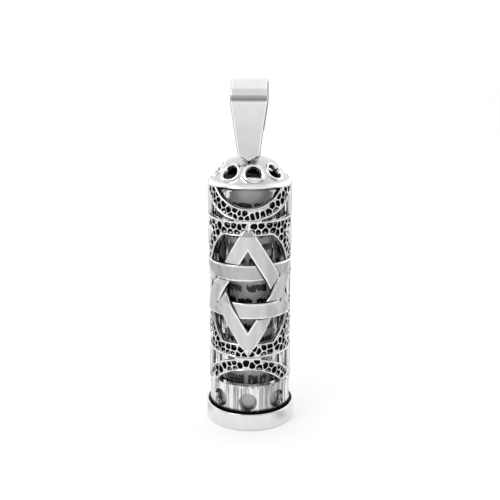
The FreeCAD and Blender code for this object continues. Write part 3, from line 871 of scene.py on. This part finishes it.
def build_dome():
    """Dome with eight rimmed holes, triangulated in plan and given thickness."""
    plan, triangles = dome_plan()
    top, under, marks, shine = [], [], [], []
    for x, y in plan:
        r = math.hypot(x, y)
        radial = np.array([x, y]) / max(r, 1e-9)
        tilt = math.atan2(dome_z(max(r - 0.01, 0)) - dome_z(r + 0.01), 0.02) if r > 0.01 else 0
        outward = np.array([*(radial * math.sin(tilt)), math.cos(tilt)])
        here = np.array([x, y, dome_z(r)])
        out = hole_distance(x, y) - DOME_HOLE_R
        ease = 0.05 * max(0.0, (r - DOME_EDGE + 0.13) / 0.13) ** 2
        top.append(here + outward * (rim_height(out) - ease))
        back = here - outward * DOME_WALL
        back[2] = max(back[2], DOME_LOW.z)
        lean = (r - DOME_EDGE + 0.5) / 0.5
        if lean > 0:
            reach = np.interp(lean, (0, 1), (np.hypot(back[0], back[1]), DOME_EDGE - DOME_SEAT))
            back = [*(radial * reach), np.interp(lean, (0, 1), (back[2], DOME_LOW.z))]
        under.append(back)
        valley = np.interp(out, (RIM_WIDE - 0.1, RIM_WIDE, RIM_WIDE + 0.15), (0, 0.35, 0))
        marks.append(valley if r < DOME_EDGE - 0.1 else 0.0)
        # painted highlight round each hole's rim and along the dome's edge
        shine.append(max(1.0 - smooth_step(out, 0.2, 0.42),
                         smooth_step(r, DOME_EDGE - 0.4, DOME_EDGE - 0.2)))
    count = len(plan)
    new_piece("pierced_dome", top + under, thicken(triangles, count), "case", ["dome_crown"],
              "cast_silver",
              silver("silver_dome", 0.61, (0.14, 0.24), oxidised=True, shine=True),
              # the underside is black; the hole walls darken from the top face down to it
              oxide=marks + [0.9] * count, shine=shine + [0.0] * count,
              shade=[0.0] * (2 * count))


# ---- bail and its hanger ring
PIVOT = Vector(next(j for j in frame["joints"] if j["name"] == "bail_swing")["pos_m"]) / MM
BAIL_LOW, BAIL_HIGH = box_mm("bail")
STRAP, STRAP_EASE = 0.45, 0.11
BAIL_TOP_R = BAIL_HIGH.y - STRAP / 2
BAIL_TOP_Z = BAIL_HIGH.z - BAIL_HIGH.y
HEEL_R, TOE_R = 0.675, 0.1
TOE_FORWARD = -BAIL_LOW.y - TOE_R - STRAP / 2
TOE_Z = BAIL_LOW.z + TOE_R + STRAP / 2
BAIL_HALF, BAIL_LOW_HALF, TONGUE_HALF, TIP_HALF = BAIL_HIGH.x, 1.15, 0.34, 0.16
BAIL_LOW_Z = 30.42
# painted shade on the strap's side faces, painted highlight on its eased edges
SIDE_SHADE, EDGE_SHINE = 0.05, 0.155    # from the strap's sides
RUN_STEP, BEND_STEP = 0.09, 0.09 / 1.6    # between points of the strap's path


def belt_path():
    """Centre line of the strap: (y, z, direction of its outward normal) in the side view."""
    circles = [(0.0, PIVOT.z, HEEL_R), (0.0, BAIL_TOP_Z, BAIL_TOP_R),
               (-TOE_FORWARD, TOE_Z, TOE_R)]
    following = circles[1:] + circles[:1]
    normals = []
    for (y0, z0, r0), (y1, z1, r1) in zip(circles, following):
        lean = math.asin((r0 - r1) / math.hypot(y1 - y0, z1 - z0))
        normals.append(math.atan2(z1 - z0, y1 - y0) - math.pi / 2 + lean)
    path = []
    for index, ((y0, z0, r0), (y1, z1, r1)) in enumerate(zip(circles, following)):
        before, after = normals[index - 1], normals[index]
        if after < before:
            after += TAU
        count = max(8, int((after - before) * r0 / BEND_STEP))
        path += [(y0 + r0 * math.cos(a), z0 + r0 * math.sin(a), a)
                 for a in np.linspace(before, after, count)]
        aim = np.array([math.cos(after), math.sin(after)])
        start, end = np.array([y0, z0]) + r0 * aim, np.array([y1, z1]) + r1 * aim
        count = max(2, int(np.hypot(*(end - start)) / RUN_STEP))
        path += [(*(start + (end - start) * k / count), after) for k in range(1, count)]
    return path


def strap_half_width(y, z):
    """Half the strap's width at a place on its path."""
    taper = np.interp(z, (BAIL_LOW_Z, BAIL_TOP_Z), (BAIL_LOW_HALF, BAIL_HALF))
    if z < BAIL_LOW_Z and y < -TOE_FORWARD:
        taper = np.interp(z, (TOE_Z - TOE_R, BAIL_LOW_Z), (TIP_HALF, BAIL_LOW_HALF))
    elif z < BAIL_LOW_Z:
        taper = np.interp(z, (TOE_Z - TOE_R, TOE_Z), (TIP_HALF, TONGUE_HALF))
    free = smooth_step(math.hypot(y, z - PIVOT.z), 1.3, 1.75)
    return TONGUE_HALF + (taper - TONGUE_HALF) * free


def strap_section(half):
    """Cross-section of the strap with eased corners: (across, outward) points."""
    section = []
    flats = (half - min(0.15, 0.8 * half), half - min(0.19, 0.9 * half), half / 2, 0.0)
    flats += tuple(-x for x in reversed(flats[:3]))
    for sx, sy in ((-1, -1), (1, -1), (1, 1), (-1, 1)):
        corner = np.array([sx * (half - STRAP_EASE), sy * (STRAP / 2 - STRAP_EASE)])
        start = math.atan2(sy, sx) - math.pi / 4
        for a in np.linspace(start, start + math.pi / 2, 6):
            section.append(corner + STRAP_EASE * np.array([math.cos(a), math.sin(a)]))
        if sx == sy:
            section += [np.array([sx * x, sy * STRAP / 2]) for x in flats]
    return section


def build_bail():
    """Tapered strap bent into a loop, with a painted highlight on its eased edges, painted shade on
    its sides and painted shade towards its foot.
    """
    points, shine, shades = [], [], []
    path = belt_path()
    for y, z, normal in path:
        half = strap_half_width(y, z)
        for x, out in strap_section(half):
            points.append((x, y + out * math.cos(normal), z + out * math.sin(normal)))
            on_side = abs(x) > half - SIDE_SHADE
            # painted shade on the side faces
            shades.append(0.75 if on_side else 0.0)
            # painted highlight on the eased edges
            shine.append(1.0 if not on_side and abs(x) > half - EDGE_SHINE else 0.0)
    new_piece("strap_bail", points, grid_faces(len(path), len(points) // len(path)), "bail",
              ["bail"], "polished_silver",
              silver("polished_silver_bail", 0.77, (0.09, 0.15), shine=True,
                     # painted shade: the strap darker towards its foot, below 35.5 mm
                     painted_shade_below=(30.0, 35.5, 0.24)),
              shine=shine, shade=shades)


def build_hanger():
    """Staple of round wire whose feet sink into solder on the crown."""
    low, high = box_mm("hanger_ring")
    wire, ring, leg = high.y, 20, 6
    span = high.x - wire
    bend = high.z - wire - span
    foot_z = low.z - 0.12
    line = [(span, foot_z + (bend - foot_z) * k / leg) for k in range(leg)]
    line += [(span * math.cos(a), bend + span * math.sin(a))
             for a in np.linspace(0, math.pi, 28)]
    line += [(-x, z) for x, z in reversed(line[:leg])]
    points = []
    for index, (x, z) in enumerate(line):
        x0, z0 = line[max(index - 1, 0)]
        x1, z1 = line[min(index + 1, len(line) - 1)]
        along = np.array([x1 - x0, z1 - z0])
        along /= np.linalg.norm(along)
        on_leg = min(index, len(line) - 1 - index) < leg
        foot = max(0.0, 1 - (z - foot_z) / 0.35) if on_leg else 0.0
        radius = wire * (1 + 0.35 * foot ** 2)
        points += [(x + radius * math.cos(a) * along[1], radius * math.sin(a),
                    z - radius * math.cos(a) * along[0])
                   for a in np.linspace(0, TAU, ring, endpoint=False)]
    faces = grid_faces(len(line), ring, rows_close=False)
    faces += [tuple(range(ring)), tuple(range(len(points) - ring, len(points)))]
    new_piece("wire_hanger", points, faces, "case", ["hanger_ring"], "polished_silver",
              silver("polished_silver_wire", 0.74, (0.08, 0.14)))


# ---- glass, seat and scroll
GLASS_BORE, GLASS_EASE = 2.8, 0.3
SEAT_BORE, SEAT_EASE = 2.9, 0.1
SHEET = 0.13    # thickness of the parchment
SCROLL_BORE, SCROLL_TURNS, TURN_STEPS, SCROLL_ROWS = 0.55, 4.6, 64, 44
FREE_EDGE = math.radians(118)


def eased_tube(node, bore, ease, steps, segments):
    """Points and faces of an upright tube with rounded ends."""
    low, high = box_mm(node)
    corners = ((bore, low.z), (high.x, low.z), (high.x, high.z), (bore, high.z))
    return lathe(rounded([(r, z, ease) for r, z in corners], segments), steps)


def build_glass():
    """Drawn tube with fire-polished ends."""
    points, faces = eased_tube("glass_tube", GLASS_BORE, GLASS_EASE, 192, 6)
    new_piece("glass_cylinder", points, faces, "case", ["glass_tube"], "clear_glass", glass())


def build_seat():
    """Grey silicone ring between the tube's end and the dome."""
    points, faces = eased_tube("tube_seat_ring", SEAT_BORE, SEAT_EASE, 128, 4)
    new_piece("seat_ring", points, faces, "case", ["tube_seat_ring"], "grey_silicone",
              rubber("grey_silicone_rubber", 0.03, 0.06))


def build_scroll():
    """Parchment sheet wound into a roll, its free edge lying near the front right."""
    low, high = box_mm("scroll")
    outer = high.x - 0.02 - SHEET / 2
    steps = int(SCROLL_TURNS * TURN_STEPS)
    rng = random.Random(3)
    wander = [rng.uniform(-0.5, 0.5) for _ in range(12)]
    points = []
    for row in range(SCROLL_ROWS + 1):
        z = low.z + (high.z - low.z) * row / SCROLL_ROWS
        at_foot, at_top = row == 0, row == SCROLL_ROWS
        for t in np.arange(steps + 1) / steps:
            angle = FREE_EDGE - (1 - t) * SCROLL_TURNS * TAU
            radius = SCROLL_BORE + (outer - SCROLL_BORE) * t
            wave = 0.012 * math.sin(angle * 3 + z * 0.8) + 0.010 * math.sin(z * 1.9 + angle)
            inward = 0.10 * (0.5 + 0.5 * math.sin(t * 9 + wander[row % 12]))
            level = z + inward * (at_foot - at_top)
            for side in (-1, 1):
                r = radius + side * SHEET / 2 + wave * t
                points.append((r * math.sin(angle), -r * math.cos(angle), level))
    width = 2 * (steps + 1)
    faces = []
    for a in range(0, SCROLL_ROWS * width, width):
        b = a + width
        for i in range(0, 2 * steps, 2):
            faces.append((a + i + 1, a + i + 3, b + i + 3, b + i + 1))
            faces.append((a + i + 2, a + i, b + i, b + i + 2))
        faces += [(a, a + 1, b + 1, b), (b - 1, b - 2, b + width - 2, b + width - 1)]
    for end in (0, SCROLL_ROWS * width):
        faces += [(end + i, end + i + 2, end + i + 3, end + i + 1) for i in range(0, 2 * steps, 2)]
    new_piece("rolled_scroll", points, faces, "scroll", ["scroll"], "parchment", parchment())


def build_ink():
    """Rows of ragged ink bars on the outer turn, standing in for writing."""
    low, high = box_mm("scroll")
    radius = high.x + 0.006
    rng = random.Random(29)
    points, faces = [], []
    pitch, tall, column = 1.5, 0.85, 0.085
    z = high.z - 1.2
    while z - tall > low.z + 0.05:
        angle = math.radians(-150)
        while angle < math.radians(96):
            columns = rng.randint(9, 30)
            base = len(points)
            for k in range(columns + 1):
                a = angle + column * k / radius
                if k % 2 == 0:
                    top = z - rng.choice((0.0, 0.05, 0.12, 0.2))
                    foot = z - tall * rng.choice((0.55, 0.8, 0.9, 1.0, 1.0))
                points += [(r * math.sin(a), -r * math.cos(a), level)
                           for level in (foot, top) for r in (radius - 0.02, radius)]
            for i in range(base, base + 4 * columns, 4):
                j = i + 4
                faces += [(i + 1, j + 1, j + 3, i + 3), (i, i + 2, j + 2, j),
                          (i, j, j + 1, i + 1), (i + 2, i + 3, j + 3, j + 2)]
            last = base + 4 * columns
            faces += [(base, base + 1, base + 3, base + 2),
                      (last, last + 2, last + 3, last + 1)]
            angle += (column * columns + rng.uniform(0.25, 0.5)) / radius
        z -= pitch
    new_piece("scroll_marks", points, faces, "scroll", [], "parchment", dry_ink())


# ---- cap
DISH_LIP, DISH_FLOOR = 0.28, 1.05
LIP_ROUND = 0.139
PLUG_GROOVE_R, PLUG_GROOVE = 3.5, (4.15, 4.65)
TOOL_MARKS, TOOL_PITCH, TOOL_DEPTH = 34, 0.088, 0.012


def build_dish():
    """Shallow dish with a rolled bright lip."""
    low, high = box_mm("cap_dish")
    outer = high.x
    bore = outer - DISH_LIP
    profile = rounded([(0.0, low.z, 0), (outer, low.z, 0.2), (outer, high.z, LIP_ROUND),
                       (bore, high.z, LIP_ROUND), (bore - 0.02, DISH_FLOOR, 0.15),
                       (0.0, DISH_FLOOR, 0)], 10)
    points, faces = lathe(profile, 256)
    new_piece("dish_cap", points, faces, "cap", ["cap_dish"], "polished_silver",
              silver("polished_silver_dish", 0.82, (0.07, 0.13)))


def build_plug():
    """Turned plug with a ring groove and fine tool marks."""
    low, high = box_mm("cap_plug")
    r, foot, top = high.x, low.z, high.z
    profile = [(0.0, foot), (r - 0.05, foot), (r, foot + 0.05)]
    profile += [(r - TOOL_DEPTH * (k % 2), foot + 0.1 + k * TOOL_PITCH) for k in range(TOOL_MARKS)]
    under, over = PLUG_GROOVE
    profile += [(r, under - 0.03), (r - 0.04, under), (PLUG_GROOVE_R, under),
                (PLUG_GROOVE_R, over), (r - 0.04, over), (r, over + 0.03),
                (r - 0.02, top - 0.06), (r - 0.12, top), (0.0, top)]
    points, faces = lathe(profile, 160)
    new_piece("turned_plug", points, faces, "cap", ["cap_plug"], "satin_silver",
              silver("matt_turned_silver", 0.45, (0.38, 0.5)))


def build_grip():
    """Rubber ring in the plug's groove."""
    low, high = box_mm("grip_ring")
    wire = (high.z - low.z) / 2
    profile = circle((high.x - wire, (high.z + low.z) / 2), wire, 24)
    points, faces = lathe(profile, 128)
    new_piece("rubber_ring", points, faces, "cap", ["grip_ring"], "black_rubber",
              rubber("black_rubber", 0.015, 0.03))


# ---- put the pieces together
build_lattice()
build_collar()
star_silver = silver("satin_silver_star", 0.66, (0.30, 0.36), oxidised=True, shine=True)
build_star("woven_star_front", 0.0, "front_star", star_silver)
build_star("woven_star_rear", math.pi, "rear_star", star_silver)
build_dome()
build_bail()
build_hanger()
build_glass()
build_seat()
build_scroll()
build_ink()
build_dish()
build_plug()
build_grip()


# ---- stage, light and camera
WORLD_STRENGTH = 1.15
FLOOR_SIZE, FLOOR_GLOW = 4000.0, 0.14
# azimuth of each wedge from the front and its half width (degrees), how dark it is, and
# where it starts (mm from the axis)
DARK_RAYS = ((-166, 17, 1.0, 5.2), (-122, 9, 0.8, 12), (-86, 10, 0.9, 12), (-52, 9, 0.5, 12),
             (-24, 7, 0.35, 12), (14, 8, 0.35, 12), (46, 9, 0.6, 12), (80, 7, 0.8, 12),
             (112, 11, 0.9, 12), (163, 17, 1.0, 5.2), (62, 24, 0.35, 5.2), (-92, 24, 0.3, 5.2))
RAY_COLUMNS = 12
KEY_PLACE, KEY_AIM, KEY_SIZE, KEY_POWER = (-140, -120, 220), (0, 0, 15), 120, 0.12
CAMERA_AZIMUTH = math.radians(3.0)
CAMERA_REACH, CAMERA_HEIGHT, AIM_HEIGHT = 91.04, 45.47, 19.44
LENS = 61.92


def point_at(thing, place, target):
    """Put a light or camera at a place, looking at a target."""
    thing.location = Vector(place) * MM
    direction = Vector(target) - Vector(place)
    thing.rotation_euler = direction.to_track_quat("-Z", "Y").to_euler()


def stage_mesh(name, points, faces, material):
    """Mesh of the stage, from points in millimetres."""
    mesh = bpy.data.meshes.new(name)
    mesh.from_pydata([[v * MM for v in p] for p in points], [], faces)
    mesh.materials.append(material)
    thing = link_object(name, mesh)
    return thing


def build_floor():
    """Plain pale floor."""
    material, tree, shader = new_material("floor_white")
    feed(tree, shader, {"Base Color": grey(0.92), "Emission Color": grey(1),
                        "Emission Strength": FLOOR_GLOW, "Roughness": 0.8,
                        "Specular IOR Level": 0.2})
    corners = [(x * FLOOR_SIZE, y * FLOOR_SIZE, 0) for x, y in ((-1, -1), (1, -1), (1, 1), (-1, 1))]
    stage_mesh("floor", corners, [(0, 1, 2, 3)], material)


def dark_ray(name, azimuth, half_width, darkness, near, far=400.0):
    """Soft dark wedge on the floor, seen only in reflections and through the glass."""
    rows = (near, near * 1.3, near * 4, 90.0, far)
    points, shades = [], []
    for reach in rows:
        for side in np.linspace(-1, 1, RAY_COLUMNS + 1):
            a = math.radians(azimuth + side * half_width)
            points.append((reach * math.sin(a), -reach * math.cos(a), 0.05))
            soft = 0.0 if reach == near else math.cos(side * math.pi / 2) ** 2
            shades.append(darkness * soft)
    material, tree, shader = new_material(name + "_cloth")
    feed(tree, shader, {"Base Color": grey(0.01), "Roughness": 1.0, "Specular IOR Level": 0.0})
    clear = add(tree, "BsdfTransparent")
    mix = add(tree, "MixShader", {0: layer_value(tree, "shade"), 1: clear, 2: shader.outputs[0]})
    feed(tree, tree.nodes["Material Output"], {"Surface": mix})
    faces = grid_faces(len(rows), RAY_COLUMNS + 1, rows_close=False, columns_close=False)
    card = stage_mesh(name, points, [tuple(reversed(face)) for face in faces], material)
    fill_layers(card.data, shade=shades)
    card.visible_camera = False
    card.visible_shadow = False
    card.visible_diffuse = False


def build_world():
    """White tent with a grey gap overhead in front, where the camera looks in."""
    world = bpy.data.worlds.new("tent")
    bpy.context.scene.world = world
    world.use_nodes = True
    tree = world.node_tree
    aim = add(tree, "TexCoord", output="Generated")
    opening = ramp(tree, add(tree, "SeparateXYZ", {0: aim}, "Z"),
                   ((0.06, 1.0), (0.18, 0.45), (0.32, 0.22), (0.44, 0.40), (0.60, 0.45),
                    (0.64, 0.80), (0.92, 0.75), (0.98, 1.0)))
    front = map_range(tree, add(tree, "SeparateXYZ", {0: aim}, "Y"), (0.05, -0.15), (0.0, 1.0))
    feed(tree, tree.nodes["Background"], {"Color": blend(tree, front, grey(1.0), opening),
                                          "Strength": WORLD_STRENGTH})


def build_key():
    """Square soft light."""
    data = bpy.data.lights.new("key", "AREA")
    data.shape = "SQUARE"
    data.size = KEY_SIZE * MM
    data.energy = KEY_POWER
    point_at(link_object("key", data), KEY_PLACE, KEY_AIM)


def build_camera():
    """Camera a little right of the front, looking down on the case."""
    data = bpy.data.cameras.new("camera")
    data.sensor_width = 36.0
    data.lens = LENS
    data.clip_start, data.clip_end = 0.005, 50.0
    camera = link_object("camera", data)
    point_at(camera, (CAMERA_REACH * math.sin(CAMERA_AZIMUTH),
                      -CAMERA_REACH * math.cos(CAMERA_AZIMUTH), CAMERA_HEIGHT),
             (0, 0, AIM_HEIGHT))
    bpy.context.scene.camera = camera


build_floor()
build_world()
for number, ray in enumerate(DARK_RAYS):
    dark_ray(f"tent_gap_{number}", *ray)
build_key()
build_camera()

scene = bpy.context.scene
scene.view_settings.view_transform = "Standard"
scene.view_settings.look = "None"
